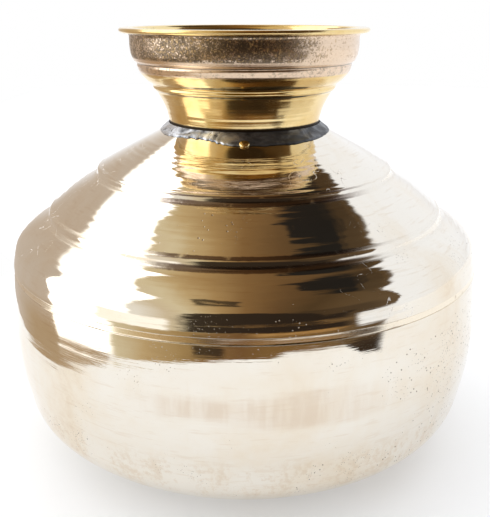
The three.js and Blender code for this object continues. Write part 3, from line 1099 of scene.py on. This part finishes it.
# The surroundings as a function of direction: side is its share towards the camera's right,
# azimuth runs from the camera's side towards its right and elevation from the horizon, in degrees.
# Each patch is a product of smooth ramps of these, waved by noise, and is laid over those before it.
# The camera itself sees plain white behind the pot, and so does the light that falls on the floor.
def makeSurroundings():
    world = bpy.data.worlds.new("studioSurroundings")
    bpy.context.scene.world = world
    recipe = Recipe(world)
    look = studio
    direction = recipe.node("ShaderNodeTexCoord", output="Generated")
    side, away, up = recipe.parts(direction)
    toDegrees = 180 / math.pi
    azimuth = recipe.math("ARCTAN2", side, away * -1) * toDegrees
    elevation = recipe.math("ARCSINE", up) * toDegrees
    wobble = recipe.noise(recipe.vector(side * 4, away * 4, up * 30), 1.0, 4.0, 0.6) - 0.5
    streaks = recipe.noise(recipe.vector(side * 2, away * 2, up * 70), 1.0, 3.0, 0.6)
    slow = recipe.noise(direction, 4.0, 3.0) - 0.5
    turned = azimuth + wobble * 9

    def ramp(stops, place):
        return recipe.node("ShaderNodeValToRGB", {"stops": stops}, {0: place})

    def panel(name, across, upwards):
        acrossZone, upZone = look["panels"][name]
        return across.between(*acrossZone) * upwards.between(*upZone)

    # White on the right, with a grey end behind, and a softbox over a tan wall on the left.
    greyEnd = azimuth.rise(112, 152) * elevation.rise(14, -10)
    softboxFoot = azimuth.rise(-95, -113) * 53 - 20
    aboveFoot = (elevation - softboxFoot + wobble * 3).rise(-2, 2)
    softbox = azimuth.within(*look["softboxAcross"]) * aboveFoot
    tanWall = azimuth.within(*look["tanAcross"]) * (1 - aboveFoot)
    lowTan = tanWall * elevation.rise(-12, -21) * azimuth.rise(-145, -115)
    color = recipe.mix(greyEnd, look["white"], look["grey"])
    color = recipe.mix(tanWall, color, look["tan"])
    color = recipe.mix(lowTan, color, look["lowTan"])
    color = recipe.mix(softbox, color, look["softbox"])

    # The warm room: all that is high, and the camera's side down to the horizon and below.
    roomStops = [((place + 1) / 2, shade) for place, shade in look["room"]]
    roomColor = ramp(roomStops, (side + wobble * 0.10) * 0.5 + 0.5)
    lowStops = [(place / look["lowSpan"] + 0.5, shade) for place, shade in look["low"]]
    lowColor = ramp(lowStops, (azimuth + wobble * 16) / look["lowSpan"] + 0.5)
    roomFoot = 47 - (azimuth + wobble * 10).rise(94, 62) * 60
    inRoom = (turned + elevation * 0.25).rise(-56, -50) * (elevation + wobble * 5 - roomFoot).rise(-1.5, 1.5)
    inRoom = inRoom.most((elevation + wobble * 5).rise(57.5, 60.5))
    inLow = turned.between(*look["lowAcross"]) * (elevation + wobble * 3).rise(-4.0, -6.0)
    color = recipe.mix(inRoom, color, roomColor)
    color = recipe.mix(inLow, color, lowColor)

    # Bright strips near the horizon, which the foot of the shoulder mirrors.
    rightStep = elevation.between(*look["rightStepUp"]) * turned.rise(50, 54)
    color = recipe.mix(panel("goldStrip", turned, elevation) * 0.75, color, look["lowGold"])
    color = recipe.mix(rightStep, color, look["white"])
    color = recipe.mix(panel("leftStep", turned, elevation), color, look["leftStep"])

    # Dark things in the room, from a dome in front of the pot to black blocks low and overhead.
    fall = azimuth / 30
    domeTop = (look["domeTop"] - fall * fall * 18).most(look["domeLeast"])
    dome = (azimuth + wobble * 26).between(*look["domeAcross"])
    dome = dome * (elevation + wobble * 9).between(look["domeFoot"], domeTop, 1.5)
    overhead = panel("overhead", side + wobble * 0.22, elevation + wobble * 6)
    overhead = overhead * away.rise(-0.18, -0.22) * streaks.rise(0.34, 0.46)
    rightBlack = panel("rightBlack", azimuth + slow * 26, elevation + wobble * 16)
    rightBlack = rightBlack * (0.30 + 0.70 * (elevation + wobble * 10).rise(54, 59))
    lowBlock = panel("lowBlockLeft", turned, elevation)
    lowBlock = lowBlock + panel("lowBlockRight", turned, elevation + wobble * 2)
    color = recipe.mix(panel("shade", turned, elevation) * 0.45, color, look["dark"])
    color = recipe.mix(dome * 0.97, color, look["dark"])
    color = recipe.mix(overhead * 0.85, color, look["dark"])
    color = recipe.mix(lowBlock * 0.85, color, look["dark"])
    color = recipe.mix(rightBlack * 0.95, color, look["black"])

    studioLight = recipe.node("ShaderNodeBackground", None, {"Color": color, "Strength": 1.0})
    plain = recipe.node("ShaderNodeBackground", None, {"Color": (1, 1, 1, 1), "Strength": 1.0})
    seen = recipe.node("ShaderNodeLightPath", output="Is Camera Ray")
    lighting = recipe.node("ShaderNodeLightPath", output="Is Diffuse Ray")
    both = recipe.node("ShaderNodeMixShader", None, {0: seen + lighting, 1: studioLight, 2: plain})
    recipe.node("ShaderNodeOutputWorld", None, {"Surface": both})


# Matt white paper with a little light of its own, so that the pot's shadow on it stays soft.
def floorPaper():
    recipe = newRecipe("paleFloorPaper")
    grain = recipe.noise(recipe.objectPlace(), 900, 3.0, 0.6)
    color = recipe.mix(grain, studio["floor"], [c * 0.985 for c in studio["floor"]])
    inputs = {"Base Color": color, "Roughness": 0.9, "Normal": recipe.bump(grain * 0.00002),
              "Emission Color": color, "Emission Strength": studio["floorGlow"]}
    shader = recipe.node("ShaderNodeBsdfPrincipled", None, inputs)
    recipe.node("ShaderNodeOutputMaterial", None, {"Surface": shader})
    return recipe.owner


# A flat sheet, fanned from its middle, whose edge is at a distance from the pot's axis that runs
# straight from one stop of tableEdge to the next.
def makeFloor():
    around = studio["tableSteps"]
    degrees = np.linspace(-180, 180, around, endpoint=False)
    reach = np.interp(degrees, *np.array(studio["tableEdge"]).T)
    turn = np.radians(degrees)
    ring = np.column_stack([reach * np.sin(turn), -reach * np.cos(turn), 0 * turn])
    points = np.vstack([ring, [0, 0, 0]])
    noQuads = np.zeros((0, 4), int)
    floor = makePiece("paleFloor", points, noQuads, fanFaces(around, 0, around, False))
    floor.data.materials.append(floorPaper())


lamps = {
    "overhead": {"from": (0.10, 0.35, 1.0), "spread": 90, "power": 0.30},
    "leftWindow": {"from": (-1.0, 0.1, 0.8), "spread": 50, "power": 0.12},
}


# Broad, distant lamps. They light the floor evenly; the surroundings give the reflections.
def makeLamps():
    for name, lamp in lamps.items():
        light = bpy.data.lights.new(name, "SUN")
        light.angle = math.radians(lamp["spread"])
        light.energy = lamp["power"]
        panel = bpy.data.objects.new(name, light)
        bpy.context.scene.collection.objects.link(panel)
        panel.rotation_euler = Vector(lamp["from"]).to_track_quat("Z", "Y").to_euler()
        panel.visible_glossy = False


camera = {
    "distance": 0.495,  # from the pot's axis
    "height": 0.3029,
    "aside": 0.0004,
    "tiltDegrees": 19.354,  # downwards
    "lens": 49.38,
    "sensor": 36,
    "near": 0.01,
    "far": 60,
}


def makeCamera():
    data = bpy.data.cameras.new("studioLens")
    data.sensor_width = camera["sensor"]
    data.lens = camera["lens"]
    data.clip_start = camera["near"]
    data.clip_end = camera["far"]
    eye = bpy.data.objects.new("studioCamera", data)
    bpy.context.scene.collection.objects.link(eye)
    eye.location = (camera["aside"], -camera["distance"], camera["height"])
    eye.rotation_euler = (math.radians(90 - camera["tiltDegrees"]), 0, 0)
    bpy.context.scene.camera = eye


makeSurroundings()
makeFloor()
makeLamps()
makeCamera()
bpy.context.scene.view_settings.view_transform = "Standard"
print("studio ready")

bowlBrass = bodyBrass("bowlBrass", [])
shoulderBrass = bodyBrass("shoulderBrass", stepCorners())
print("body metals mixed")

made = {
    "base_bowl": (makeBowl(bowlBrass), "body_brass"),
    "shoulder_shell": (makeShoulder(shoulderBrass), "body_brass"),
    "body_seam_bead": (makeSeam(seamBraze()), "seam_brass"),
}
print("body turned and seamed")

made["neck_collar"] = (makeNeck(neckBrass()), "neck_brass")
made["neck_solder_ring"] = (makeSolder(dullSolder()), "neck_solder")
rivetMetal = rivetBrass()
for seed, (node, name) in enumerate(rivet["nodes"].items()):
    made[node] = (makeRivet(node, name, rivetMetal, seed), "rivet_brass")
print("neck soldered and riveted")

for node, (piece, slot) in made.items():
    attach(piece, "root")
    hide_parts(node)

print("pieces ride on the frame")
